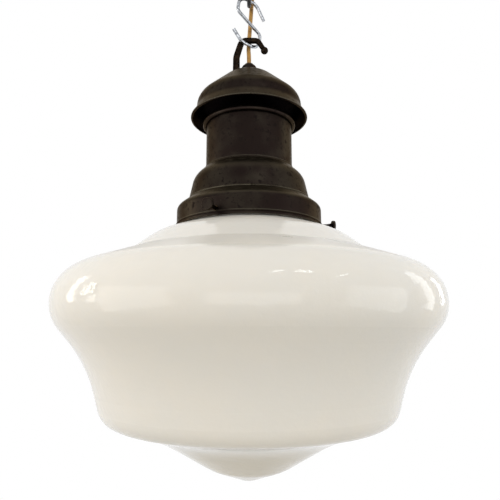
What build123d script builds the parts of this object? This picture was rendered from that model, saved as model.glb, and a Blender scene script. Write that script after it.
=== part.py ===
"""Opaline pendant light, in millimetres, +Z up.

The origin is the middle of the ceiling plate's top face, on the ceiling, and everything hangs below it.
The lamp's own axis is the Z axis. X runs across the front view and Y runs away from the viewer.
"""

import os
from math import cos, pi, radians, tan

from build123d import *

# Driving dimensions: ceiling plate, its hook and the cord's bush
plate_radius = 36.0
plate_wall = 1.5
plate_dish_radius = 22.0
plate_dish_depth = 6.5
plate_dish_slope = 4.0
plate_dish_fillet = 2.5
plate_screw_count = 3
plate_screw_circle = 60.0
plate_screw_hole_radius = 2.2
plate_first_screw_angle = 150.0

hook_bar_radius = 2.5
hook_drop = 42.1
hook_yaw = -90.0
hook_bend_radius = 9.0
hook_arm_height = 14.0
hook_tip_height = 11.0
hook_shank_fillet = 5.0
hook_collar_radius = 5.5
hook_collar_height = 2.0
hook_flat_length = 0.2
hook_nut_across_flats = 9.0
hook_nut_height = 3.5

# Driving dimensions: S hook of zinc wire, turned away from the front view
s_wire_radius = 2.0
s_loop_span = 58.7
s_yaw = 38.0
s_loop_left = 11.0
s_loop_right = 14.5
s_tip_reach = 23.0
s_lower_tip_height = 12.4
s_upper_tip_height = 17.7
s_belly = 17.0
s_belly_height = 19.8
s_tip_bend = 14.0
s_loop_bend = 12.8
s_belly_bend = 6.0
hang_clearance = 0.35

# Driving dimensions: wrought crook on the lamp's crown
crook_foot_radius = 4.2
crook_bar_radius = 3.5
crook_end_radius = 2.7
crook_ball_radius = 4.3
crook_rise = 40.3
crook_foot_offset = 15.0
crook_stem_height = 19.0
crook_stem_bend = 20.0
crook_lean_offset = 8.6
crook_top_bend = 8.0
crook_middle_offset = 1.5
crook_nose_offset = 10.4
crook_nose_bend = 5.8
crook_ball_offset = 18.3
crook_ball_drop = 12.8
eye_radius = 11.4
eye_thickness = 3.0

# Driving dimensions: threaded tube, nuts, bushes and the flex
tube_radius = 5.0
tube_bore_radius = 4.0
tube_clearance = 0.2
tube_above_nut = 0.4
tube_below_lock_nut = 36.0
gland_nut_across_flats = 15.5
gland_nut_height = 8.0
gland_nut_chamfer = 2.8
flex_radius = 2.5
bush_flange_radius = 4.9
bush_flange_height = 1.0
bush_depth = 4.0
washer_radius = 9.0
washer_thickness = 1.2
lock_nut_across_flats = 14.0
lock_nut_height = 4.0

# Driving dimensions: spun ventilating cap
cap_wall = 1.2
cap_height = 58.5
cap_crown_corner = 20.4
cap_waist_radius = 60.3
cap_shoulder_drop = 35.2
cap_flare_drop = 46.5
cap_rim_radius = 66.0
cap_crown_fillet = 35.0
cap_shoulder_fillet = 18.5
cap_flare_fillet = 12.0
cap_rim_turn = 2.2
cap_bead_radius = 1.1
cap_to_neck_gap = 4.4

# Driving dimensions: neck tube, bridge bar and spacer
neck_radius = 48.8
neck_wall = 1.2
neck_exposed_height = 54.6
neck_socket_depth = 9.0
neck_bead_radius = 2.7
bridge_width = 16.0
bridge_thickness = 2.0
bridge_ear_height = 9.0
bridge_ear_thickness = 1.6
bridge_depth = 9.0
spacer_radius = 7.0
earth_block_length = 8.0
earth_block_width = 7.0
earth_block_height = 6.0
earth_block_offset = 22.0
earth_screw_radius = 1.6
earth_screw_head_height = 1.5

# Driving dimensions: bell spinning
bell_wall = 1.2
bell_height = 39.0
bell_lip_radius = 67.0
bell_collar_height = 1.6
bell_shoulder_radius = 61.9
bell_shoulder_drop = 12.6
bell_collar_fillet = 3.0
bell_shoulder_fillet = 22.0
bell_lip_turn = 3.0
bell_lip_fillet = 6.0
bell_bead_radius = 1.1

# Driving dimensions: gallery skirt and its three thumbscrews
skirt_wall = 1.2
skirt_height = 31.2
skirt_collar_clearance = 1.6
skirt_collar_height = 5.0
skirt_seat_ledge = 1.4
skirt_shoulder_drop = 9.0
skirt_shoulder_fillet = 7.0
skirt_bead_radius = 1.0
skirt_bead_height = 3.4
screw_count = 3
screw_first_angle = 6.0
screw_shank_radius = 2.0
screw_clearance = 0.1
screw_hole_radius = 2.5
screw_above_lip = 6.9
screw_shank_showing = 4.0
screw_cone_length = 10.5
screw_cone_radius = 3.4
screw_cone_hollow_share = 0.6
screw_cone_hollow_rise = 0.35
screw_head_radius = 6.2
screw_head_thickness = 3.6
screw_head_fillet = 1.0
screw_nut_across_flats = 7.0
screw_nut_thickness = 2.3
screw_tip_gap = 0.1

# Driving dimensions: opal glass shade
glass_wall = 4.0
glass_neck_radius = 72.6
glass_lip_width = 3.0
glass_lip_height = 8.0
glass_lip_clearance = 0.9
glass_lip_fillet = 1.5
glass_lip_gap = 0.1
glass_neck_fillet = 5.0
glass_neck_length = 16.3
glass_shoulder_height = 84.2
glass_neck_to_widest = glass_neck_length + glass_shoulder_height
# Corners of the shade's outline below the neck: radius, height above the widest ring, and rounding
glass_corners = [
    (104.0, 73.7, 60.0),
    (131.5, 52.7, 8.0),
    (229.6, 18.0, 39.6),
    (164.7, -60.8, 136.0),
    (149.8, -116.0, 22.0),
    (104.3, -127.3, 200.0),
    (42.0, -164.8, 60.0),
    (6.0, -178.3, 30.0),
]

# Driving dimensions: lampholder and bulb
holder_radius = 20.0
holder_wall = 1.0
holder_neck_radius = 8.0
holder_cap_height = 24.0
holder_shell_height = 34.0
holder_thread_engagement = 11.0
holder_shoulder_fillet = 9.0
holder_liner_recess = 2.0
insulator_height = 16.0
holder_liner_radius = 14.3
holder_liner_wall = 0.6
contact_radius = 5.0
contact_height = 2.0
terminal_offset = 9.0
terminal_radius = 2.2
terminal_height = 3.0
core_radius = 1.2
core_squeeze = 0.9
flex_tail = 1.0
bulb_cap_radius = 13.2
bulb_cap_length = 24.0
bulb_cap_shoulder = 4.0
bulb_neck_depth = 4.0
bulb_neck_length = 9.0
bulb_radius = 30.0
bulb_glass_length = 82.0
bulb_wall = 1.0

# Radii of the pieces that fit each other
glass_lip_radius = glass_neck_radius + glass_lip_width
nut_inner_radius = glass_lip_radius + glass_lip_clearance
skirt_inner_radius = nut_inner_radius + screw_nut_thickness
skirt_radius = skirt_inner_radius + skirt_wall
skirt_collar_radius = bell_lip_radius - bell_wall - skirt_collar_clearance
skirt_seat_radius = bell_lip_radius + skirt_seat_ledge
screw_cone_start = skirt_radius + screw_shank_showing
screw_cone_end = screw_cone_start + screw_cone_length
tube_hole_radius = tube_radius + tube_clearance
neck_inner_radius = neck_radius - neck_wall
holder_inner_radius = holder_radius - holder_wall
plate_bush_radius = bush_flange_radius - bush_flange_height

# Heights down the lamp, from the ceiling at zero
hook_bar_z = -hook_drop
s_top_z = hook_bar_z + hook_bar_radius + hang_clearance + s_wire_radius
s_bottom_z = s_top_z - s_loop_span
crook_top_z = s_bottom_z + s_wire_radius + hang_clearance + crook_bar_radius
eye_top_z = crook_top_z - crook_rise
crown_z = eye_top_z - eye_thickness
cap_rim_z = crown_z - cap_height
neck_top_z = cap_rim_z - cap_to_neck_gap
bell_top_z = neck_top_z - neck_exposed_height
bell_lip_z = bell_top_z - bell_height
skirt_lip_z = bell_lip_z - skirt_height
screw_z = skirt_lip_z + screw_above_lip
glass_lip_z = screw_z + screw_shank_radius + glass_lip_gap
glass_top_z = glass_lip_z + glass_lip_height
gland_top_z = eye_top_z + gland_nut_height
tube_top_z = gland_top_z + tube_above_nut
bridge_top_z = neck_top_z - bridge_depth
bridge_bottom_z = bridge_top_z - bridge_thickness
lock_nut_top_z = bridge_bottom_z - washer_thickness
lock_nut_bottom_z = lock_nut_top_z - lock_nut_height
tube_bottom_z = lock_nut_bottom_z - tube_below_lock_nut
holder_top_z = tube_bottom_z + holder_thread_engagement
holder_cap_bottom_z = holder_top_z - holder_cap_height
holder_bottom_z = holder_cap_bottom_z - holder_shell_height
insulator_bottom_z = holder_cap_bottom_z - insulator_height
contact_bottom_z = insulator_bottom_z - contact_height
bulb_cap_bottom_z = contact_bottom_z - bulb_cap_length

# The flex's route, chosen by hand: out of the gland, behind the crook and up to the plate's bush
flex_split_point = (-0.2, 8.3, -87.4)
flex_lower_route = [
    (0.0, 0.0, -123.8),
    (0.0, 0.0, -109.5),
    (-0.9, 8.0, -97.4),
    flex_split_point,
]
flex_upper_route = [
    flex_split_point,
    (1.2, 8.9, -67.4),
    (2.2, 13.2, -49.5),
    (3.3, 16.2, -30.5),
    (4.2, 16.8, -15.0),
    (4.2, 16.8, -plate_dish_depth),
]
flex_joint_share = 0.45
plate_bush_place = flex_upper_route[-1]

# How much of a run between two corners their roundings may take together
most_of_a_run = 0.99


standing = (Align.CENTER, Align.CENTER, Align.MIN)


def turned(face):
    """A face drawn beside the lamp's axis, turned into a solid of revolution."""
    return revolve(Plane.XZ * face, Axis.Z)


def rounded_line(*corners, radius):
    """A line through corners, each rounded by its radius, or by less where its runs are too short."""
    points = [Vector(*corner) for corner in corners]
    runs = [end - start for start, end in zip(points, points[1:])]
    turns = [before.get_angle(after) for before, after in zip(runs, runs[1:])]
    reaches = [0] + [bend * tan(radians(turn / 2)) for bend, turn in zip(radius, turns)] + [0]
    shares = []
    for run, start_reach, end_reach in zip(runs, reaches, reaches[1:]):
        room = most_of_a_run * run.length
        shares.append(room / max(room, start_reach + end_reach))
    bends = [bend * min(before, after) for bend, before, after in zip(radius, shares, shares[1:])]
    return FilletPolyline(*corners, radius=bends)


def spun(outline, wall, side):
    """Sheet metal or glass: an open outline given a wall on one side, then turned."""
    return turned(make_face(offset(outline, amount=wall, side=side, closed=True)))


def ring(inner, outer, bottom, top):
    """A plain ring or tube about the lamp's axis."""
    width = outer - inner
    height = top - bottom
    return turned(Pos((inner + outer) / 2, (bottom + top) / 2) * Rectangle(width, height))


def bead(outer_radius, wall, z, bead_radius):
    """A rolled bead of round section on a wall, flush with the wall's inner face and proud outside."""
    return turned(Pos(outer_radius - wall + bead_radius, z) * Circle(bead_radius))


def hex_nut(across_flats, bottom, height, bore_radius):
    """A hexagon nut about the lamp's axis."""
    outline = RegularPolygon(across_flats / 2, 6, major_radius=False) - Circle(bore_radius)
    return Pos(0, 0, bottom) * extrude(outline, height)


def round_bar(path, radius):
    """A round bar swept along a path of straight runs and tangent arcs."""
    return sweep(Plane(path @ 0, z_dir=path % 0) * Circle(radius), path=path)


def around(shape, count, first_angle):
    """Copies of a shape, evenly spaced about the lamp's axis."""
    return [Rot(0, 0, first_angle + 360 / count * step) * shape for step in range(count)]


# Ceiling plate, hook, nut and bush
def ceiling_plate():
    """A dished steel plate. Its flange lies on the ceiling, and the dish leaves room for the hook's nut."""
    top_line = FilletPolyline(
        (hook_bar_radius, -plate_dish_depth),
        (plate_dish_radius, -plate_dish_depth),
        (plate_dish_radius + plate_dish_slope, 0),
        (plate_radius, 0),
        radius=plate_dish_fillet,
    )
    plate = spun(top_line, plate_wall, Side.RIGHT)
    screw_hole = Pos(plate_screw_circle / 2, 0, 0) * Cylinder(plate_screw_hole_radius, 4 * plate_wall)
    for hole in around(screw_hole, plate_screw_count, plate_first_screw_angle):
        plate = plate - hole
    x, y, z = plate_bush_place
    return plate - Pos(x, y, z) * Cylinder(plate_bush_radius, 4 * plate_wall)


def hook_route():
    """The ceiling hook's centre line, in the upright plane that faces the viewer edge on."""
    arm_z = hook_bar_z + hook_bend_radius + hook_arm_height
    hook_bow_fillet = hook_bend_radius - hook_flat_length / 2
    return FilletPolyline(
        (0, -plate_dish_depth + hook_nut_height + plate_wall),
        (0, arm_z + hook_shank_fillet),
        (hook_bend_radius, arm_z),
        (hook_bend_radius, hook_bar_z),
        (-hook_bend_radius, hook_bar_z),
        (-hook_bend_radius, hook_bar_z + hook_bend_radius + hook_tip_height),
        radius=[hook_shank_fillet, hook_shank_fillet, hook_bow_fillet, hook_bow_fillet],
    )


def ceiling_hook():
    """A bent steel hook, with a collar under the plate and a rounded tip."""
    route = Plane.XZ.rotated((0, 0, hook_yaw)) * hook_route()
    bar = round_bar(route, hook_bar_radius)
    tip = Pos(*(route @ 1)) * Sphere(hook_bar_radius)
    plate_underside = -plate_dish_depth - plate_wall
    collar = ring(0, hook_collar_radius, plate_underside - hook_collar_height, plate_underside)
    return bar + tip + collar


def hook_nut():
    """The nut in the dish that holds the hook."""
    return hex_nut(hook_nut_across_flats, -plate_dish_depth, hook_nut_height, hook_bar_radius)


def plate_bush():
    """A fibre bush that lines the flex's hole in the plate."""
    x, y, z = plate_bush_place
    underside = z - plate_wall
    sleeve = ring(flex_radius, plate_bush_radius, underside, z)
    flange = ring(flex_radius, bush_flange_radius, underside - bush_flange_height, underside)
    return Pos(x, y, 0) * (sleeve + flange)


# S hook
def s_half(tip_height):
    """The corners of the S hook's lower half, from its tip to its belly, with the hook's middle at zero."""
    bottom = -s_loop_span / 2
    return [
        (-s_tip_reach, bottom + tip_height),
        (-s_loop_left, bottom),
        (s_loop_right, bottom),
        (s_belly, bottom + s_belly_height),
    ]


def s_hook():
    """Zinc wire bent to an S. Its upper half is the lower one turned half round, with a longer tip."""
    upper_half = [(-x, -z) for x, z in reversed(s_half(s_upper_tip_height))]
    bends = [s_tip_bend, s_loop_bend, s_belly_bend]
    wire = FilletPolyline(*s_half(s_lower_tip_height), *upper_half, radius=bends + bends[::-1])
    route = Plane.XZ.rotated((0, 0, s_yaw)) * (Pos(0, (s_bottom_z + s_top_z) / 2) * wire)
    return round_bar(route, s_wire_radius)


# Crook with its eye
def crook_stem_route():
    """The crook's thick half: up from the eye and over to the middle of its top."""
    return FilletPolyline(
        (-crook_foot_offset, eye_top_z),
        (-crook_foot_offset, eye_top_z + crook_stem_height),
        (-crook_lean_offset, crook_top_z),
        (crook_middle_offset, crook_top_z),
        radius=[crook_stem_bend, crook_top_bend],
    )


def crook_nose_route():
    """The crook's thin half: from the middle of its top down to the ball."""
    return FilletPolyline(
        (crook_middle_offset, crook_top_z),
        (crook_nose_offset, crook_top_z),
        (crook_ball_offset, crook_top_z - crook_ball_drop),
        radius=crook_nose_bend,
    )


def tapered_bar(route, start_radius, end_radius):
    """A round bar whose radius changes evenly along its path."""
    sections = [
        Plane(route @ 0, z_dir=route % 0) * Circle(start_radius),
        Plane(route @ 1, z_dir=route % 1) * Circle(end_radius),
    ]
    return sweep(sections, path=route, multisection=True)


def crook_arm():
    """A wrought bar: a flat eye round the threaded tube, a stem, a bow over the S hook and a ball end."""
    stem = tapered_bar(Plane.XZ * crook_stem_route(), crook_foot_radius, crook_bar_radius)
    nose_route = Plane.XZ * crook_nose_route()
    nose = tapered_bar(nose_route, crook_bar_radius, crook_end_radius)
    ball = Pos(*(nose_route @ 1)) * Sphere(crook_ball_radius)
    outline = make_hull(
        Circle(eye_radius).edges() + (Pos(-crook_foot_offset, 0) * Circle(crook_foot_radius)).edges()
    )
    eye = Pos(0, 0, crown_z) * extrude(outline - Circle(tube_hole_radius), eye_thickness)
    return eye + stem + nose + ball


# Threaded tube with its nuts, washer, bush and spacer
def gland_nut():
    """The chamfered nut over the eye that clamps the crook, the cap and the spacer to the bridge."""
    nut = hex_nut(gland_nut_across_flats, eye_top_z, gland_nut_height, tube_hole_radius)
    corner_radius = gland_nut_across_flats / 2 / cos(pi / 6)
    crown = ring(0, corner_radius, eye_top_z, gland_top_z)
    return nut & chamfer(crown.edges().group_by(Axis.Z)[-1], gland_nut_chamfer)


def cord_bush():
    """A flanged fibre bush in the tube's mouth, round the flex."""
    sleeve = ring(flex_radius, tube_bore_radius, tube_top_z - bush_depth, tube_top_z)
    flange = ring(flex_radius, bush_flange_radius, tube_top_z, tube_top_z + bush_flange_height)
    return sleeve + flange


def threaded_tube():
    """The hollow threaded tube that carries the lamp, from the gland nut to the lampholder."""
    return ring(tube_bore_radius, tube_radius, tube_bottom_z, tube_top_z)


def spacer_tube():
    """The tube that holds the cap above the bridge."""
    return ring(tube_hole_radius, spacer_radius, bridge_top_z, crown_z - cap_wall)


def lock_washer():
    """The washer under the bridge."""
    return ring(tube_hole_radius, washer_radius, lock_nut_top_z, bridge_bottom_z)


def lock_nut():
    """The nut under the bridge."""
    return hex_nut(lock_nut_across_flats, lock_nut_bottom_z, lock_nut_height, tube_hole_radius)


# Ventilating cap
def vent_cap():
    """A spun dome with a flared skirt and a rolled rim, open below so that warm air leaves."""
    outline = rounded_line(
        (tube_hole_radius, crown_z),
        (cap_crown_corner, crown_z),
        (cap_waist_radius, crown_z - cap_shoulder_drop),
        (cap_waist_radius, crown_z - cap_flare_drop),
        (cap_rim_radius, cap_rim_z + cap_rim_turn),
        (cap_rim_radius, cap_rim_z),
        radius=[cap_crown_fillet, cap_shoulder_fillet, cap_flare_fillet, cap_rim_turn],
    )
    dome = spun(outline, cap_wall, Side.RIGHT)
    return dome + bead(cap_rim_radius, cap_wall, cap_rim_z + cap_bead_radius, cap_bead_radius)


# Neck tube and the bridge inside it
def neck_tube():
    """The drawn tube of the neck, with a rolled bead at its mouth. Its foot is sweated into the bell."""
    tube_foot_z = bell_top_z - neck_socket_depth
    bead_z = neck_top_z - neck_bead_radius
    tube = ring(neck_radius - neck_wall, neck_radius, tube_foot_z, bead_z)
    return tube + bead(neck_radius, neck_wall, bead_z, neck_bead_radius)


def bridge_bar():
    """A steel strap across the neck, with ears turned down along its wall, that carries the tube."""
    ear_bottom_z = bridge_top_z - bridge_ear_height
    strap = Pos(0, 0, ear_bottom_z) * Box(4 * neck_radius, bridge_width, bridge_ear_height, align=standing)
    flat = ring(tube_hole_radius, neck_inner_radius, bridge_bottom_z, bridge_top_z)
    ear_inner_radius = neck_inner_radius - bridge_ear_thickness
    ears = ring(ear_inner_radius, neck_inner_radius, ear_bottom_z, bridge_top_z)
    return (flat + ears) & strap


def earth_terminal():
    """A brass block with its screw, on the bridge, for the earth core."""
    block = Box(earth_block_length, earth_block_width, earth_block_height, align=standing)
    screw = Cylinder(earth_screw_radius, earth_screw_head_height, align=standing)
    return Pos(earth_block_offset, 0, bridge_top_z) * (block + Pos(0, 0, earth_block_height) * screw)


# Bell
def bell():
    """The spun bell between neck and gallery, with a collar round the tube and a beaded lip."""
    collar_radius = neck_radius + bell_wall
    outline = rounded_line(
        (collar_radius, bell_top_z),
        (collar_radius, bell_top_z - bell_collar_height),
        (bell_shoulder_radius, bell_top_z - bell_shoulder_drop),
        (bell_lip_radius, bell_lip_z + bell_lip_turn),
        (bell_lip_radius, bell_lip_z),
        radius=[bell_collar_fillet, bell_shoulder_fillet, bell_lip_fillet],
    )
    shell = spun(outline, bell_wall, Side.RIGHT)
    return shell + bead(bell_lip_radius, bell_wall, bell_lip_z + bell_bead_radius, bell_bead_radius)


# Gallery with its thumbscrews
def gallery():
    """The spun gallery that takes the glass: a collar inside the bell, a shoulder and a beaded skirt."""
    outline = rounded_line(
        (skirt_collar_radius, bell_lip_z + skirt_collar_height),
        (skirt_collar_radius, bell_lip_z),
        (skirt_seat_radius, bell_lip_z),
        (skirt_radius, bell_lip_z - skirt_shoulder_drop),
        (skirt_radius, skirt_lip_z),
        radius=[skirt_wall / 4, skirt_wall / 4, skirt_shoulder_fillet],
    )
    shell = spun(outline, skirt_wall, Side.RIGHT)
    shell = shell + bead(skirt_radius, skirt_wall, skirt_lip_z + skirt_bead_height, skirt_bead_radius)
    screw_hole = Pos(skirt_radius, 0, screw_z) * Rot(0, 90, 0) * Cylinder(screw_hole_radius, 4 * skirt_wall)
    for hole in around(screw_hole, screw_count, screw_first_angle):
        shell = shell - hole
    return shell


def screw_nuts():
    """The nuts sweated inside the skirt, one for each thumbscrew, hollowed to its curve."""
    outline = RegularPolygon(screw_nut_across_flats / 2, 6, major_radius=False)
    outline = outline - Circle(screw_shank_radius + screw_clearance)
    place = Plane((nut_inner_radius, 0, screw_z), z_dir=(1, 0, 0))
    nut = place * extrude(outline, 2 * screw_nut_thickness)
    reach = screw_nut_across_flats
    nut = nut & ring(0, skirt_inner_radius, screw_z - reach, screw_z + reach)
    return Compound(children=around(nut, screw_count, screw_first_angle))


def thumbscrew():
    """A turned thumbscrew: a plain shank, a hollowed cone and a round head, lying along X."""
    tip = glass_neck_radius + screw_tip_gap
    cone_hollow = (
        screw_cone_start + screw_cone_hollow_share * screw_cone_length,
        screw_shank_radius + screw_cone_hollow_rise,
    )
    outline = (
        Line((tip, 0), (tip, screw_shank_radius))
        + Line((tip, screw_shank_radius), (screw_cone_start, screw_shank_radius))
        + ThreePointArc(
            (screw_cone_start, screw_shank_radius), cone_hollow, (screw_cone_end, screw_cone_radius)
        )
        + Line((screw_cone_end, screw_cone_radius), (screw_cone_end, 0))
        + Line((screw_cone_end, 0), (tip, 0))
    )
    shank = revolve(make_face(outline), Axis.X)
    head = Cylinder(screw_head_radius, screw_head_thickness, align=standing)
    head = fillet(head.edges().filter_by(GeomType.CIRCLE), screw_head_fillet)
    return Pos(0, 0, screw_z) * (shank + Pos(screw_cone_end, 0, 0) * Rot(0, 90, 0) * head)


# Glass shade
def glass_shade():
    """A blown opal glass shade: a fitter neck with its lip, two stepped shoulders, a wide bowl,
    a waist and an ogee base that ends in a soft point."""
    widest_z = glass_top_z - glass_neck_to_widest
    corners = [(glass_neck_radius, glass_top_z), (glass_neck_radius, widest_z + glass_shoulder_height)]
    corners += [(radius, widest_z + height) for radius, height, bend in glass_corners]
    corners += [(0, corners[-1][1])]
    bends = [glass_neck_fillet] + [bend for radius, height, bend in glass_corners]
    shell = spun(rounded_line(*corners, radius=bends), glass_wall, Side.RIGHT)
    lip = ring(glass_neck_radius - glass_wall / 2, glass_lip_radius, glass_lip_z, glass_top_z)
    outer_edges = lip.edges().filter_by(GeomType.CIRCLE).sort_by(SortBy.RADIUS)[-2:]
    return shell + fillet(outer_edges, glass_lip_fillet)


# Lampholder, from its cap down
def holder_cap():
    """The brass cap of the lampholder, screwed on the tube's foot."""
    outline = rounded_line(
        (holder_neck_radius, holder_top_z),
        (holder_neck_radius, holder_top_z - holder_thread_engagement),
        (holder_radius, holder_top_z - holder_thread_engagement),
        (holder_radius, holder_cap_bottom_z),
        radius=[holder_wall / 2, holder_shoulder_fillet],
    )
    shell = spun(outline, holder_wall, Side.RIGHT)
    collar = ring(tube_radius, holder_neck_radius, tube_bottom_z, holder_top_z)
    return shell + collar


def holder_shell():
    """The brass shell round the insulator and the screw liner."""
    return ring(holder_inner_radius, holder_radius, holder_bottom_z, holder_cap_bottom_z)


def holder_insulator():
    """The porcelain block that carries the contacts and terminals."""
    return ring(0, holder_inner_radius, insulator_bottom_z, holder_cap_bottom_z)


def holder_liner():
    """The screw liner that takes the bulb's cap."""
    inner_radius = holder_liner_radius - holder_liner_wall
    return ring(inner_radius, holder_liner_radius, holder_bottom_z + holder_liner_recess, insulator_bottom_z)


def centre_contact():
    """The spring contact at the liner's bottom."""
    return ring(0, contact_radius, contact_bottom_z, insulator_bottom_z)


def terminals():
    """The two terminal posts on the insulator."""
    post = Cylinder(terminal_radius, terminal_height, align=standing)
    post = Pos(terminal_offset, 0, holder_cap_bottom_z) * post
    return Compound(children=around(post, 2, 0))


def core_wires():
    """The flex's two cores, from its end to the terminals."""
    flex_end_z = tube_bottom_z - flex_tail
    terminal_top_z = holder_cap_bottom_z + terminal_height
    middle_z = (flex_end_z + terminal_top_z) / 2
    route = FilletPolyline(
        (core_radius, flex_end_z),
        (core_radius, middle_z + core_radius),
        (terminal_offset, middle_z),
        (terminal_offset, terminal_top_z),
        radius=core_radius,
    )
    core = round_bar(Plane.XZ * route, core_radius * core_squeeze)
    return Compound(children=around(core, 2, 0))


# Bulb
def bulb_cap():
    """The bulb's screw cap, a cup that holds the glass."""
    outline = rounded_line(
        (0, contact_bottom_z),
        (contact_radius, contact_bottom_z),
        (bulb_cap_radius, contact_bottom_z - bulb_cap_shoulder),
        (bulb_cap_radius, bulb_cap_bottom_z),
        radius=[bulb_wall, bulb_wall],
    )
    return spun(outline, bulb_wall, Side.RIGHT)


def bulb_glass():
    """The frosted glass of the bulb, set in its cap."""
    neck = bulb_cap_radius - bulb_wall
    top_z = bulb_cap_bottom_z + bulb_neck_depth
    bottom_z = top_z - bulb_glass_length
    outline = rounded_line(
        (neck, top_z),
        (neck, bulb_cap_bottom_z - bulb_neck_length),
        (bulb_radius, bottom_z + bulb_radius * 2),
        (bulb_radius, bottom_z),
        (0, bottom_z),
        radius=[bulb_radius / 2, bulb_radius / 2, bulb_radius - bulb_wall],
    )
    return spun(outline, bulb_wall, Side.RIGHT)


# Flex
def flex(route):
    """A stretch of the flex: straight runs joined by tangent arcs, as wide as the runs allow."""
    points = [Vector(*point) for point in route]
    bends = []
    for before, at, after in zip(points, points[1:], points[2:]):
        turn = (at - before).get_angle(after - at)
        shorter = min((at - before).length, (after - at).length)
        bends.append(flex_joint_share * shorter / tan(radians(turn / 2)))
    print("flex bend radii, mm:", [round(bend, 1) for bend in bends])
    path = FilletPolyline(*route, radius=bends)
    tube = round_bar(path, flex_radius)
    print("flex length, mm:", round(path.length, 1))
    full_volume = pi * flex_radius**2 * path.length
    print("flex volume over section times length:", round(tube.volume / full_volume, 4))
    return tube


def flex_in_tube():
    """The flex inside the threaded tube, down to where its cores part."""
    return ring(0, flex_radius, tube_bottom_z - flex_tail, flex_lower_route[0][2])


parts = {
    "ceiling_plate": ceiling_plate(),
    "ceiling_hook": ceiling_hook(),
    "ceiling_hook_nut": hook_nut(),
    "plate_cord_bush": plate_bush(),
    "s_hook": s_hook(),
    "flex_upper": flex(flex_upper_route),
    "flex_lower": flex(flex_lower_route),
    "flex_in_tube": flex_in_tube(),
    "crook_arm": crook_arm(),
    "gland_nut": gland_nut(),
    "gland_cord_bush": cord_bush(),
    "threaded_tube": threaded_tube(),
    "spacer_tube": spacer_tube(),
    "vent_cap": vent_cap(),
    "neck_tube": neck_tube(),
    "bridge_bar": bridge_bar(),
    "bridge_washer": lock_washer(),
    "bridge_nut": lock_nut(),
    "earth_terminal": earth_terminal(),
    "bell": bell(),
    "gallery_skirt": gallery(),
    "thumbscrew_nuts": screw_nuts(),
    "glass_shade": glass_shade(),
    "holder_cap": holder_cap(),
    "holder_shell": holder_shell(),
    "holder_insulator": holder_insulator(),
    "holder_liner": holder_liner(),
    "holder_contact": centre_contact(),
    "holder_terminals": terminals(),
    "core_wires": core_wires(),
    "bulb_cap": bulb_cap(),
    "bulb_glass": bulb_glass(),
}
for number, screw in enumerate(around(thumbscrew(), screw_count, screw_first_angle), start=1):
    parts[f"thumbscrew_{number}"] = screw

os.makedirs("parts", exist_ok=True)
for name, shape in parts.items():
    export_step(shape, f"parts/{name}.step")
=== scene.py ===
from math import pi, radians, sin, tau

import bmesh
import bpy
from mathutils import Matrix, Vector


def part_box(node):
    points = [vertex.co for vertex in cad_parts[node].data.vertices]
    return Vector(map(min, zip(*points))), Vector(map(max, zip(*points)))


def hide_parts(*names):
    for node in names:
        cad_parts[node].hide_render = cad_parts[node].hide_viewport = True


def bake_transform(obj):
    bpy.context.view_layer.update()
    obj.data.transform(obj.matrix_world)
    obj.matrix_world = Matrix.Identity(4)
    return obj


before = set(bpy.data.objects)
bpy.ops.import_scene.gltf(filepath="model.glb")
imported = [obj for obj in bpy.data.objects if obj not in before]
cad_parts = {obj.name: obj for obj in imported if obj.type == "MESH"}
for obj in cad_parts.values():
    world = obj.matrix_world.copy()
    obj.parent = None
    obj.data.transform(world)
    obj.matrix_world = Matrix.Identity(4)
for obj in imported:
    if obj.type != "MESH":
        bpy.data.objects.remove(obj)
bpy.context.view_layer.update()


# The view: a lens at the photograph's place, level with the middle of the shade and turned up a little.
# The lamp's own axis stands at x = 0 and y = 0, and the camera looks along +Y.
view_distance = 0.5445
view_height = -0.436
view_right = 0.0011
view_tilt = radians(99.65)
lens_length = 35.87
film_width = 36.0
camera = bpy.data.objects.new("camera", bpy.data.cameras.new("camera"))
camera.data.sensor_width = film_width
camera.data.lens = lens_length
camera.location = (view_right, -view_distance, view_height)
camera.rotation_euler = (view_tilt, 0, 0)
bpy.context.scene.collection.objects.link(camera)
bpy.context.scene.camera = camera
bpy.context.scene.view_settings.view_transform = "Standard"


# The room: white wherever it is seen, with a soft light nearly twice as strong from above as from below.
# Three wide walls of light fill in the front and the sides. Small windows at the sides and a few gaps of
# sky give the glass and the metal their highlights.
white = (1, 1, 1, 1)
daylight_towards = (-0.3, 0.0, 0.95)
daylight_low = 0.5
daylight_high = 0.92
daylight_colour = (1.0, 0.985, 0.95, 1)
window_aim = Vector((0, 0, -0.33))
pale_warm = (1.0, 0.96, 0.88)
evening_warm = (1.0, 0.93, 0.82)
sky_cool = (0.93, 0.97, 1.0)
sky_blue = (0.88, 0.95, 1.0)
sky_gap_places = [(0.44, -1.4, 0.85), (0.85, -1.3, 0.95), (1.5, -1.1, 0.8)]


def node(tree, kind, inputs=None, **settings):
    """Add a shader node. An input takes a value, or the socket of another node to be linked from."""
    made = tree.nodes.new("ShaderNode" + kind)
    for name, value in settings.items():
        setattr(made, name, value)
    for name, value in (inputs or {}).items():
        if isinstance(value, bpy.types.NodeSocket):
            tree.links.new(value, made.inputs[name])
        else:
            made.inputs[name].default_value = value
    return made


def calculate(tree, operation, first, second=0.0):
    """One step of arithmetic on two values."""
    return node(tree, "Math", {0: first, 1: second}, operation=operation).outputs[0]


def seen_directly(tree):
    """One where the camera looks, straight, in a reflection or through glass, and nought for stray light."""
    path = node(tree, "LightPath")
    sharp = calculate(tree, "MAXIMUM", path.outputs["Is Camera Ray"], path.outputs["Is Glossy Ray"])
    return calculate(tree, "MAXIMUM", sharp, path.outputs["Is Transmission Ray"])


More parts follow.
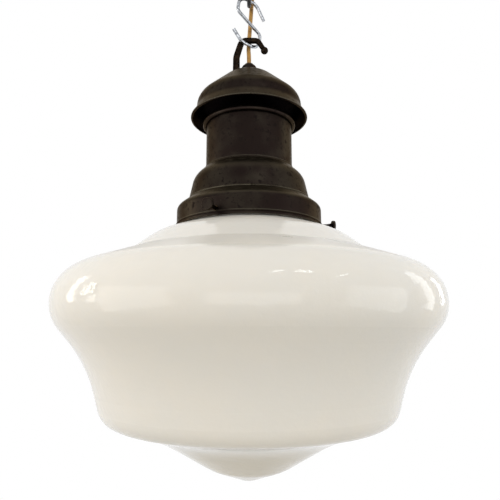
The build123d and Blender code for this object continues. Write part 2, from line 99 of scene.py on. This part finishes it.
def window(name, place, width, height, watts, colour):
    """A soft rectangle of light that faces the lamp."""
    light = bpy.data.lights.new(name, "AREA")
    light.shape = "RECTANGLE"
    light.size = width
    light.size_y = height
    light.energy = watts
    light.color = colour
    holder = bpy.data.objects.new(name, light)
    holder.location = place
    holder.rotation_euler = (window_aim - Vector(place)).to_track_quat("-Z", "Y").to_euler()
    bpy.context.scene.collection.objects.link(holder)


room = bpy.data.worlds.new("room")
bpy.context.scene.world = room
room.use_nodes = True
sky = room.node_tree
sky.nodes.clear()
direction = node(sky, "TexCoord").outputs["Generated"]
rise = node(sky, "VectorMath", {0: direction, 1: daylight_towards}, operation="DOT_PRODUCT").outputs["Value"]
strength = node(sky, "MapRange", {"Value": rise, 1: -1, 2: 1, 3: daylight_low, 4: daylight_high}).outputs[0]
soft = node(sky, "Background", {"Color": daylight_colour, "Strength": strength})
plain = node(sky, "Background", {"Color": white})
shown = node(sky, "MixShader", {0: seen_directly(sky), 1: soft.outputs[0], 2: plain.outputs[0]})
node(sky, "OutputWorld", {"Surface": shown.outputs[0]})

window("left_window", (-1.74, 0.0, -0.05), width=0.16, height=0.4, watts=1.1, colour=pale_warm)
window("left_pane", (-1.75, -0.15, -0.45), width=0.2, height=0.25, watts=0.45, colour=pale_warm)
window("left_back", (-1.72, 0.42, -0.02), width=0.22, height=0.9, watts=2.2, colour=evening_warm)
window("right_window", (1.35, 0.95, -0.15), width=0.1, height=0.55, watts=0.7, colour=sky_blue)
window("right_back", (1.6, 0.5, -0.1), width=0.3, height=1.2, watts=2.0, colour=sky_cool)
window("left_wall", (-1.9, -1.05, -0.6), width=1.7, height=1.5, watts=13.0, colour=(1.0, 0.965, 0.92))
window("right_wall", (2.0, -0.8, -0.6), width=1.5, height=1.5, watts=9.5, colour=(0.97, 0.985, 1.0))
window("front_wall", (0.1, -2.3, -0.95), width=2.0, height=1.0, watts=9.5, colour=(1.0, 0.985, 0.96))
for number, place in enumerate(sky_gap_places, start=1):
    window(f"sky_gap_{number}", place, width=0.2, height=0.06, watts=0.45, colour=sky_cool)


# The floor: a wide matt ground, 2.4 m below the ceiling, that sends a soft light up to the lamp.
# Where it is seen, it is as white as the rest of the room.
floor_height = -2.4
floor_size = 30.0
floor_colour = (0.38, 0.36, 0.31, 1)
floor_shape = bmesh.new()
bmesh.ops.create_grid(floor_shape, size=floor_size / 2, matrix=Matrix.Translation((0, 0, floor_height)))
floor_mesh = bpy.data.meshes.new("floor")
floor_shape.to_mesh(floor_mesh)
floor_shape.free()
floor = bpy.data.objects.new("floor", floor_mesh)
floor_finish = bpy.data.materials.new("floor")
floor_finish.use_nodes = True
ground = floor_finish.node_tree
ground.nodes.clear()
matt = node(ground, "BsdfDiffuse", {"Color": floor_colour})
glow = node(ground, "Emission", {"Color": white})
shown = node(ground, "MixShader", {0: seen_directly(ground), 1: matt.outputs[0], 2: glow.outputs[0]})
node(ground, "OutputMaterial", {"Surface": shown.outputs[0]})
floor_mesh.materials.append(floor_finish)
bpy.context.scene.collection.objects.link(floor)


# Ceiling plate and hook: pressed and bent mild steel under black lacquer, with a plain nut in the dish and
# a fibre bush where the flex goes through. Only the hook's lower bend is in the photograph's view.
lacquer_black = (0.012, 0.012, 0.014, 1)
lacquer_worn = (0.06, 0.055, 0.052, 1)
fibre_dark = (0.03, 0.017, 0.012, 1)
fibre_light = (0.07, 0.04, 0.03, 1)
steel_bright = (0.5, 0.5, 0.49, 1)
steel_dull = (0.3, 0.28, 0.26, 1)


def effect(name, sockets_in, sockets_out):
    """Start a group of nodes that several finishes share, with its named inputs and outputs."""
    group = bpy.data.node_groups.new(name, "ShaderNodeTree")
    for socket, value in sockets_in.items():
        made = group.interface.new_socket(name=socket, in_out="INPUT", socket_type="NodeSocketFloat")
        made.default_value = value
    for socket in sockets_out:
        group.interface.new_socket(name=socket, in_out="OUTPUT", socket_type="NodeSocketFloat")
    return group, group.nodes.new("NodeGroupInput").outputs, group.nodes.new("NodeGroupOutput").inputs


def use(tree, group, values):
    """Place a shared group in a finish, with this finish's own values, and give its output."""
    placed = tree.nodes.new("ShaderNodeGroup")
    placed.node_tree = group
    for name, value in values.items():
        placed.inputs[name].default_value = value
    return placed.outputs[0]


def mottling_group():
    """Soft blotches of any size: a mask from nought to one that turns over between two noise levels."""
    group, given, result = effect("mottling", {"Scale": 60.0, "Low": 0.4, "High": 0.6}, ["Mask"])
    place = {"Vector": node(group, "TexCoord").outputs["Object"], "Scale": given["Scale"]}
    cloud = node(group, "TexNoise", {**place, "Detail": 6.0, "Roughness": 0.6})
    limits = {"Value": cloud.outputs[0], 1: given["Low"], 2: given["High"]}
    mask = node(group, "MapRange", limits, interpolation_type="SMOOTHSTEP")
    group.links.new(mask.outputs[0], result["Mask"])
    return group


def blend_colour(tree, share, first, second):
    """Mix two colours by a mask."""
    return node(tree, "Mix", {0: share, 6: first, 7: second}, data_type="RGBA").outputs[2]


def surface(name, inputs):
    """A finish with one Principled shader, and the tree to add its nodes to."""
    made = bpy.data.materials.new(name)
    made.use_nodes = True
    made.node_tree.nodes.clear()
    shader = node(made.node_tree, "BsdfPrincipled", inputs)
    node(made.node_tree, "OutputMaterial", {"Surface": shader.outputs[0]})
    return made, made.node_tree, shader


def colour_by(tree, shader, mask, first, second):
    """Colour a finish from one colour to another by a mask."""
    tree.links.new(blend_colour(tree, mask, first, second), shader.inputs["Base Color"])


def roughen_by(tree, shader, mask, low, high):
    """Take a finish's roughness from low to high by a mask."""
    roughness = node(tree, "MapRange", {"Value": mask, 3: low, 4: high}).outputs[0]
    tree.links.new(roughness, shader.inputs["Roughness"])


def raise_by(tree, shader, height, strength, depth):
    """Raise a finish's surface by a height, with its depth in metres, on top of the relief that it has."""
    relief = {"Height": height, "Strength": strength, "Distance": depth}
    normal = shader.inputs["Normal"]
    if normal.is_linked:
        relief["Normal"] = normal.links[0].from_socket
    tree.links.new(node(tree, "Bump", relief).outputs[0], normal)


def dress(finish, *names):
    """Give CAD nodes a finish in place of their plain one."""
    for name in names:
        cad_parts[name].data.materials.clear()
        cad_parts[name].data.materials.append(finish)


def black_lacquer():
    """Brushed black lacquer, thin and browner where it has worn."""
    finish, tree, shader = surface("black lacquer", {"Metallic": 0.2, "Specular IOR Level": 0.5})
    blotches = use(tree, mottling, {"Scale": 140.0, "Low": 0.5, "High": 0.75})
    orange_peel = use(tree, mottling, {"Scale": 700.0, "Low": 0.3, "High": 0.7})
    colour_by(tree, shader, blotches, lacquer_black, lacquer_worn)
    roughen_by(tree, shader, blotches, low=0.28, high=0.5)
    raise_by(tree, shader, orange_peel, strength=0.25, depth=0.0003)
    return finish


def dark_fibre():
    """Pressed vulcanised fibre, dark red-brown with a short grain."""
    finish, tree, shader = surface("dark fibre", {"Roughness": 0.7})
    grain = use(tree, mottling, {"Scale": 900.0, "Low": 0.35, "High": 0.65})
    colour_by(tree, shader, grain, fibre_dark, fibre_light)
    return finish


def bright_steel():
    """Plain steel, duller in patches."""
    finish, tree, shader = surface("bright steel", {"Metallic": 1.0})
    tarnish = use(tree, mottling, {"Scale": 200.0, "Low": 0.4, "High": 0.7})
    colour_by(tree, shader, tarnish, steel_bright, steel_dull)
    roughen_by(tree, shader, tarnish, low=0.25, high=0.5)
    return finish


mottling = mottling_group()
bare_steel = bright_steel()
fibre = dark_fibre()
dress(black_lacquer(), "ceiling_plate", "ceiling_hook")
dress(bare_steel, "ceiling_hook_nut")
dress(fibre, "plate_cord_bush")


# Flex: two cores in a round braid of gold silk, 5 mm thick. It leaves the lamp's crown through the nut,
# passes behind the crook and the S hook, and goes up through the ceiling plate. The lamp doesn't hang on it.
flex_radius = 0.0025
flex_split = (-0.0002, 0.0083, -0.0874)
flex_lower_route = [
    (0.0, 0.0, -0.1238),
    (0.0, 0.0, -0.1095),
    (-0.0009, 0.008, -0.0974),
    flex_split,
]
flex_upper_route = [
    flex_split,
    (0.0012, 0.0089, -0.0674),
    (0.0022, 0.0132, -0.0495),
    (0.0033, 0.0162, -0.0305),
    (0.0042, 0.0168, -0.015),
    (0.0042, 0.0168, -0.0065),
]
silk_gold = (0.58, 0.32, 0.075, 1)
silk_shade = (0.40, 0.20, 0.035, 1)
silk_soiled = (0.30, 0.155, 0.04, 1)
braid_strands = 12
braid_lay = 0.011
braid_relief = 0.00016
flex_sides = 48
flex_step = 0.0004


def route_line(route):
    """Points along the smooth line that the route's points control, evenly close together."""
    curve = bpy.data.curves.new("route", "CURVE")
    curve.dimensions = "3D"
    curve.resolution_u = 64
    spline = curve.splines.new("NURBS")
    spline.points.add(len(route) - 1)
    for point, place in zip(spline.points, route):
        point.co = (*place, 1)
    spline.order_u = 3
    spline.use_endpoint_u = True
    holder = bpy.data.objects.new("route", curve)
    bpy.context.scene.collection.objects.link(holder)
    line = bpy.data.meshes.new_from_object(holder.evaluated_get(bpy.context.evaluated_depsgraph_get()))
    points = [vertex.co.copy() for vertex in line.vertices]
    bpy.data.objects.remove(holder)
    bpy.data.meshes.remove(line)
    return points


def evenly(points, step):
    """The same line with its points one step apart."""
    spaced = [points[0]]
    left = step
    for start, end in zip(points, points[1:]):
        length = (end - start).length
        while left <= length:
            spaced.append(start.lerp(end, left / length))
            left += step
        left -= length
    return spaced + [points[-1]]


def braid_height(turn, travelled):
    """How far the braid stands out, from 0 to 1: two sets of strands that pass over and under each other."""
    lay = travelled / braid_lay
    left = braid_strands * (turn / tau + lay)
    right = braid_strands * (turn / tau - lay)
    crown_left = abs(sin(pi * left))
    crown_right = abs(sin(pi * right))
    over = 0.5 + 0.5 * sin(pi * (left + right) / 2) * sin(pi * (left - right) / 2)
    return crown_left * over + crown_right * (1 - over)


def ring_edges(shape, ring):
    """The edges round one ring of points."""
    return [shape.edges.get((start, end)) for start, end in zip(ring, ring[1:] + ring[:1])]


def braided_tube(route, start_along):
    """A braided tube along a route, and the points of its line. The braid goes on from start_along."""
    points = evenly(route_line(route), flex_step)
    shape = bmesh.new()
    rings = []
    travelled = start_along
    side = Vector((1, 0, 0))
    for number, point in enumerate(points):
        before = points[max(number - 1, 0)]
        after = points[min(number + 1, len(points) - 1)]
        along = (after - before).normalized()
        side = (side - side.dot(along) * along).normalized()
        place = Matrix.Translation(point) @ Matrix((side, along.cross(side), along)).transposed().to_4x4()
        ring = bmesh.ops.create_circle(shape, segments=flex_sides, radius=flex_radius, matrix=place)["verts"]
        travelled += (point - before).length
        for corner, vertex in enumerate(ring):
            height = braid_height(tau * corner / flex_sides, travelled) - 1
            vertex.co += (vertex.co - point).normalized() * height * braid_relief
        rings.append(ring)
    for lower, upper in zip(rings, rings[1:]):
        bmesh.ops.bridge_loops(shape, edges=ring_edges(shape, lower) + ring_edges(shape, upper))
    for ring in (rings[0], rings[-1]):
        bmesh.ops.contextual_create(shape, geom=ring)
    bmesh.ops.recalc_face_normals(shape, faces=shape.faces)
    return shape, points


def piece(name, shape, finish, crease=40):
    """Make a finished bmesh into a piece, smooth but for its creases."""
    mesh = bpy.data.meshes.new(name)
    shape.to_mesh(mesh)
    shape.free()
    mesh.shade_smooth()
    mesh.set_sharp_from_angle(angle=radians(crease))
    mesh.materials.append(finish)
    made = bpy.data.objects.new(name, mesh)
    bpy.context.scene.collection.objects.link(made)
    return made


def line_length(points):
    """The length of a line of points."""
    return sum((end - start).length for start, end in zip(points, points[1:]))


def gold_silk():
    """Twisted gold silk: lighter thread crowns, soiled in places, with a soft sheen."""
    finish, tree, shader = surface("gold silk", {"Sheen Weight": 0.35, "Sheen Roughness": 0.4})
    shader.inputs["Sheen Tint"].default_value = (1.0, 0.85, 0.5, 1)
    soiled = use(tree, mottling, {"Scale": 170.0, "Low": 0.35, "High": 0.7})
    threads = use(tree, mottling, {"Scale": 2600.0, "Low": 0.3, "High": 0.7})
    colour_by(tree, shader, soiled, blend_colour(tree, threads, silk_shade, silk_gold), silk_soiled)
    roughen_by(tree, shader, threads, low=0.45, high=0.7)
    raise_by(tree, shader, threads, strength=0.4, depth=0.0001)
    return finish


silk = gold_silk()
lower_shape, lower_line = braided_tube(flex_lower_route, 0.0)
lower_length = line_length(lower_line)
upper_shape, upper_line = braided_tube(flex_upper_route, lower_length)
flex_below = piece("flex_below_hook", lower_shape, silk)
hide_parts("flex_lower")
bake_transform(flex_below)
flex_above = piece("flex_above_hook", upper_shape, silk)
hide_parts("flex_upper")
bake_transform(flex_above)
dress(silk, "flex_in_tube")


# S hook: zinc-plated wire, 4 mm thick, bent cold and hung loose between the ceiling hook and the crook.
# The zinc is bright, with a faint crystal bloom and fine marks from drawing the wire.
zinc_bright = (0.52, 0.54, 0.57, 1)
zinc_dull = (0.22, 0.23, 0.25, 1)
scratch_turns = (0.5, 2.1)
scratch_stretch = (1, 1, 0.12)


def scratches_group():
    """Fine crossing lines, where two clouds of noise are at their middle, as drawing leaves on wire."""
    group, given, result = effect("scratches", {"Scale": 90.0, "Width": 0.006}, ["Mask"])
    place = node(group, "TexCoord").outputs["Object"]
    lines = []
    for turn in scratch_turns:
        turning = {"Vector": place, "Rotation": (turn, turn / 2, 0), "Scale": scratch_stretch}
        turned = node(group, "Mapping", turning).outputs[0]
        cloud = node(group, "TexNoise", {"Vector": turned, "Scale": given["Scale"], "Detail": 1.0}).outputs[0]
        distance = calculate(group, "ABSOLUTE", calculate(group, "SUBTRACT", cloud, 0.5))
        limits = {"Value": distance, 1: 0.0, 2: given["Width"], 3: 1.0, 4: 0.0}
        lines.append(node(group, "MapRange", limits).outputs[0])
    group.links.new(calculate(group, "MAXIMUM", *lines), result["Mask"])
    return group


def zinc_plate():
    """Bright zinc with its bloom."""
    finish, tree, shader = surface("zinc plate", {"Metallic": 1.0})
    bloom = use(tree, mottling, {"Scale": 400.0, "Low": 0.35, "High": 0.65})
    draw_marks = use(tree, scratches, {"Scale": 300.0, "Width": 0.02})
    colour_by(tree, shader, bloom, zinc_bright, zinc_dull)
    roughen_by(tree, shader, bloom, low=0.12, high=0.3)
    raise_by(tree, shader, draw_marks, strength=0.2, depth=0.0001)
    return finish


scratches = scratches_group()
dress(zinc_plate(), "s_hook")


# Crook: a wrought bar with a flat eye and a ball end, clamped on the crown by the nut over its eye.
# It was drawn down with a hammer, which left small flats, and its scale is brown-black.
iron_scale = (0.008, 0.006, 0.005, 1)
iron_rusty = (0.030, 0.019, 0.012, 1)
iron_glance = (0.35, 0.30, 0.26, 1)


def wrought_iron():
    """Hammered iron under its scale."""
    finish, tree, shader = surface("wrought iron", {"Metallic": 1.0, "Specular Tint": iron_glance})
    scale = use(tree, mottling, {"Scale": 260.0, "Low": 0.4, "High": 0.65})
    place = node(tree, "TexCoord").outputs["Object"]
    hammer_flats = node(tree, "TexVoronoi", {"Vector": place, "Scale": 260.0}).outputs[0]
    colour_by(tree, shader, scale, iron_scale, iron_rusty)
    roughen_by(tree, shader, scale, low=0.42, high=0.65)
    raise_by(tree, shader, hammer_flats, strength=0.5, depth=0.0004)
    return finish


dress(wrought_iron(), "crook_arm")


# Bronzed brass: the cap, neck, bell and gallery are spun or drawn from sheet and seated in each other, and
# the screws and the nut are turned. The patina is dark brown, mottled olive and finely pitted, and worn along
# the rims. Where it looks up it is paler, partly dust and partly painted light from above, and inside it is
# painted black as painted shade.
bronze_dark = (0.0160, 0.0110, 0.0095, 1)
bronze_olive = (0.030, 0.0245, 0.0185, 1)
bronze_pitted = (0.0135, 0.0098, 0.0088, 1)
bronze_worn = (0.070, 0.062, 0.045, 1)
# Paler where it looks up: part dust, part painted light from above.
bronze_dust_and_top_light = (0.088, 0.073, 0.050, 1)
bronze_glance = (0.62, 0.57, 0.51, 1)
# Painted shade: the black of faces that look in towards the axis.
painted_inner_shade = (0.004, 0.003, 0.0035, 1)
wear_in_patches = 0.3
rolled_bead_height = 0.0011
skirt_bead_height = 0.0044
bead_wear_reach = 0.0009
collar_wear_reach = 0.0008
lip_wear_reach = 0.0006


def lathe_group():
    """The fine rings that a spinning tool leaves round a turned piece, as a height."""
    group, given, result = effect("lathe rings", {"Scale": 900.0}, ["Height"])
    x, y, z = node(group, "SeparateXYZ", {0: node(group, "TexCoord").outputs["Object"]}).outputs
    flat = node(group, "CombineXYZ", {0: x, 1: y}).outputs[0]
    radius = node(group, "VectorMath", {0: flat}, operation="LENGTH").outputs["Value"]
    along = {"W": calculate(group, "SUBTRACT", radius, z), "Scale": given["Scale"], "Detail": 3.0}
    ring = node(group, "TexNoise", along, noise_dimensions="1D")
    group.links.new(ring.outputs[0], result["Height"])
    return group


def worn_rim_group():
    """A broken band of wear round the lamp's axis at one height."""
    group, given, result = effect("worn rim", {"Height": 0.0, "Reach": 0.002, "Scale": 70.0}, ["Mask"])
    place = node(group, "TexCoord").outputs["Object"]
    z = node(group, "SeparateXYZ", {0: place}).outputs[2]
    distance = calculate(group, "ABSOLUTE", calculate(group, "SUBTRACT", z, given["Height"]))
    limits = {"Value": distance, 1: 0.0, 2: given["Reach"], 3: 1.0, 4: 0.0}
    band = node(group, "MapRange", limits, interpolation_type="SMOOTHSTEP").outputs[0]
    cloud = node(group, "TexNoise", {"Vector": place, "Scale": given["Scale"], "Detail": 5.0}).outputs[0]
    patches = node(group, "MapRange", {"Value": cloud, 1: 0.25, 2: 0.5}).outputs[0]
    group.links.new(calculate(group, "MULTIPLY", band, patches), result["Mask"])
    return group


def inward_group():
    """One on faces that look in towards the lamp's axis, and nought on those that look out."""
    group, given, result = effect("inward", {"Inside": -0.2, "Outside": 0.0}, ["Mask"])
    coordinates = node(group, "TexCoord")
    x, y, _ = node(group, "SeparateXYZ", {0: coordinates.outputs["Object"]}).outputs
    flat = node(group, "CombineXYZ", {0: x, 1: y}).outputs[0]
    outward = node(group, "VectorMath", {0: flat}, operation="NORMALIZE").outputs[0]
    facing = {0: coordinates.outputs["Normal"], 1: outward}
    leaning = node(group, "VectorMath", facing, operation="DOT_PRODUCT").outputs["Value"]
    limits = {"Value": leaning, 1: given["Inside"], 2: given["Outside"], 3: 1.0, 4: 0.0}
    mask = node(group, "MapRange", limits)
    group.links.new(mask.outputs[0], result["Mask"])
    return group


def dust_and_top_light_group():
    """One on faces that look up, where dust settles and light from above is painted in, and nought on upright
    ones.
    """
    group, given, result = effect("settled dust", {"Scale": 45.0, "Low": 0.25, "High": 0.95}, ["Mask"])
    coordinates = node(group, "TexCoord")
    up = node(group, "SeparateXYZ", {0: coordinates.outputs["Normal"]}).outputs[2]
    place = {"Vector": coordinates.outputs["Object"], "Scale": given["Scale"]}
    cloud = node(group, "TexNoise", {**place, "Detail": 5.0}).outputs[0]
    patches = node(group, "MapRange", {"Value": cloud, 1: 0.3, 2: 0.7, 3: 0.6, 4: 1.0}).outputs[0]
    level = node(group, "MapRange", {"Value": up, 1: given["Low"], 2: given["High"]}).outputs[0]
    group.links.new(calculate(group, "MULTIPLY", level, patches), result["Mask"])
    return group


def bronze(name, rims):
    """Aged bronze. Each rim is a height and how far its wear reaches."""
    finish, tree, shader = surface(name, {"Metallic": 1.0, "Specular Tint": bronze_glance})
    age = use(tree, mottling, {"Scale": 30.0, "Low": 0.38, "High": 0.66})
    pits = use(tree, mottling, {"Scale": 240.0, "Low": 0.52, "High": 0.66})
    marks = use(tree, mottling, {"Scale": 420.0, "Low": 0.66, "High": 0.76})
    wear = calculate(tree, "MULTIPLY", marks, wear_in_patches)
    for height, reach in rims:
        rim = use(tree, worn_rim, {"Height": height, "Reach": reach})
        wear = calculate(tree, "MAXIMUM", wear, rim)
    patina = blend_colour(tree, age, bronze_dark, bronze_olive)
    patina = blend_colour(tree, pits, patina, bronze_pitted)
    # Faces that look up are painted paler: dust and painted light from above.
    patina = blend_colour(tree, use(tree, dust_and_top_light, {}), patina, bronze_dust_and_top_light)
    patina = blend_colour(tree, wear, patina, bronze_worn)
    # Faces that look in are painted black: painted shade inside the metalwork.
    colour_by(tree, shader, use(tree, inward, {}), patina, painted_inner_shade)
    roughen_by(tree, shader, pits, low=0.36, high=0.58)
    raise_by(tree, shader, use(tree, lathe_rings, {"Scale": 700.0}), strength=0.15, depth=0.0002)
    raise_by(tree, shader, pits, strength=0.25, depth=0.0002)
    return finish


lathe_rings = lathe_group()
worn_rim = worn_rim_group()
inward = inward_group()
dust_and_top_light = dust_and_top_light_group()
cap_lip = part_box("vent_cap")[0].z
bell_lip, bell_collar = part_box("bell")[0].z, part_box("bell")[1].z
skirt_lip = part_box("gallery_skirt")[0].z
cap_rims = [(cap_lip + rolled_bead_height, bead_wear_reach)]
bell_rims = [(bell_lip + rolled_bead_height, bead_wear_reach), (bell_collar, collar_wear_reach)]
skirt_rims = [(skirt_lip + skirt_bead_height, collar_wear_reach), (skirt_lip, lip_wear_reach)]
dress(bronze("bronze cap", cap_rims), "vent_cap")
dress(bronze("bronze neck", []), "neck_tube", "spacer_tube", "gland_nut")
dress(bronze("bronze bell", bell_rims), "bell")
dress(bronze("bronze gallery", skirt_rims), "gallery_skirt")
dress(bronze("bronze screw", []), "thumbscrew_1", "thumbscrew_2", "thumbscrew_3")


# Inside the lamp: a threaded brass tube, held in a steel bridge by its lock nut, carries a brass lampholder
# with a porcelain insulator. The flex comes in through a fibre bush, and its two sleeved cores go on down.
brass_bright = (0.55, 0.38, 0.16, 1)
brass_brown = (0.22, 0.14, 0.06, 1)
glaze_white = (0.82, 0.80, 0.76, 1)
glaze_speck = (0.6, 0.55, 0.48, 1)
sleeve_dark = (0.18, 0.09, 0.05, 1)
sleeve_light = (0.30, 0.17, 0.10, 1)


def plain_brass():
    """Turned brass, browned in patches."""
    finish, tree, shader = surface("plain brass", {"Metallic": 1.0})
    tarnish = use(tree, mottling, {"Scale": 90.0, "Low": 0.35, "High": 0.65})
    colour_by(tree, shader, tarnish, brass_bright, brass_brown)
    roughen_by(tree, shader, tarnish, low=0.25, high=0.45)
    return finish


def porcelain():
    """White glazed porcelain with a few specks in the glaze."""
    finish, tree, shader = surface("porcelain", {"Coat Weight": 0.5, "Coat Roughness": 0.05})
    specks = use(tree, mottling, {"Scale": 600.0, "Low": 0.7, "High": 0.8})
    colour_by(tree, shader, specks, glaze_white, glaze_speck)
    roughen_by(tree, shader, specks, low=0.2, high=0.35)
    return finish


def core_sleeving():
    """Woven cotton sleeving, brown."""
    finish, tree, shader = surface("core sleeving", {"Roughness": 0.55})
    weave = use(tree, mottling, {"Scale": 1200.0, "Low": 0.35, "High": 0.65})
    colour_by(tree, shader, weave, sleeve_dark, sleeve_light)
    return finish


dress(
    plain_brass(), "threaded_tube", "bridge_nut", "earth_terminal", "thumbscrew_nuts",
    "holder_cap", "holder_shell", "holder_liner", "holder_contact", "holder_terminals",
)
dress(bare_steel, "bridge_bar", "bridge_washer")
dress(porcelain(), "holder_insulator")
dress(fibre, "gland_cord_bush")
dress(core_sleeving(), "core_wires")


# Glass shade: blown opal glass, 4 mm thick, milky right through and glossy on both faces.
# It is faintly warm and slowly wavy because it was blown. Its foot is painted darker and creamier, and its
# outline greyer, as painted shade; its shoulder is painted paler, as painted light, and is dull with dust.
opal_warm = (0.86, 0.81, 0.73, 1)
opal_cool = (0.81, 0.785, 0.735, 1)
# Painted shade: the darker, creamier colour of the foot.
opal_foot_painted_shade = (0.70, 0.645, 0.535, 1)
# Painted light: the paler colour of the shoulder, over the shade of its fold.
opal_shoulder_painted_light = (0.95, 0.89, 0.79, 1)
# Painted shade: the greyer colour where the glass is seen edge-on.
opal_outline_painted_shade = (0.60, 0.58, 0.54, 1)
opal_milkiness = {"IOR": 1.42, "Subsurface Weight": 0.25, "Subsurface Scale": 0.012}
foot_top = -0.522
foot_full = -0.545
outline_shade_starts = 0.80
speck_dullness = 0.35


def opal_glass():
    """Milky glass with slow waves, a few seeds, dust on what looks up, and painted shade and light."""
    finish, tree, shader = surface("opal glass", opal_milkiness)
    shader.inputs["Subsurface Radius"].default_value = (1.0, 0.9, 0.75)
    depth = use(tree, mottling, {"Scale": 5.0, "Low": 0.3, "High": 0.7})
    height = node(tree, "SeparateXYZ", {0: node(tree, "TexCoord").outputs["Object"]}).outputs[2]
    foot_limits = {"Value": height, 1: foot_top, 2: foot_full}
    foot = node(tree, "MapRange", foot_limits, interpolation_type="SMOOTHSTEP").outputs[0]
    shoulder = use(tree, dust_and_top_light, {"Scale": 20.0, "Low": 0.84, "High": 0.93})
    # The outline, seen edge-on, is painted greyer: painted shade.
    facing = node(tree, "LayerWeight", {"Blend": 0.5}).outputs["Facing"]
    outline_shade_limits = {"Value": facing, 1: outline_shade_starts, 2: 1.0}
    rim = node(tree, "MapRange", outline_shade_limits, interpolation_type="SMOOTHSTEP").outputs[0]
    body = blend_colour(tree, depth, opal_warm, opal_cool)
    # The foot is painted darker and creamier: painted shade on the underside.
    body = blend_colour(tree, foot, body, opal_foot_painted_shade)
    # The shoulder is painted paler: painted light over the shade of its fold.
    body = blend_colour(tree, shoulder, body, opal_shoulder_painted_light)
    colour_by(tree, shader, rim, body, opal_outline_painted_shade)
    specks = use(tree, mottling, {"Scale": 130.0, "Low": 0.62, "High": 0.8})
    dull = calculate(tree, "MAXIMUM", calculate(tree, "MULTIPLY", specks, speck_dullness), shoulder)
    roughen_by(tree, shader, dull, low=0.05, high=0.42)
    waves = use(tree, mottling, {"Scale": 11.0, "Low": 0.2, "High": 0.8})
    seeds = use(tree, mottling, {"Scale": 420.0, "Low": 0.74, "High": 0.8})
    raise_by(tree, shader, waves, strength=0.3, depth=0.002)
    raise_by(tree, shader, seeds, strength=0.3, depth=0.0003)
    return finish


dress(opal_glass(), "glass_shade")


# Bulb: a frosted pear of glass in a plain screw cap, run into the lampholder and unlit.
# It hangs inside the shade, out of the photograph's view.
frost_white = (0.86, 0.86, 0.84, 1)
frost_grey = (0.8, 0.8, 0.78, 1)
frost_milkiness = {"IOR": 1.45, "Subsurface Weight": 0.2, "Subsurface Scale": 0.01}


def frosted_glass():
    """Glass etched white on the inside."""
    finish, tree, shader = surface("frosted glass", frost_milkiness)
    frost = use(tree, mottling, {"Scale": 300.0, "Low": 0.3, "High": 0.7})
    colour_by(tree, shader, frost, frost_white, frost_grey)
    roughen_by(tree, shader, frost, low=0.35, high=0.5)
    return finish


dress(frosted_glass(), "bulb_glass")
dress(bare_steel, "bulb_cap")
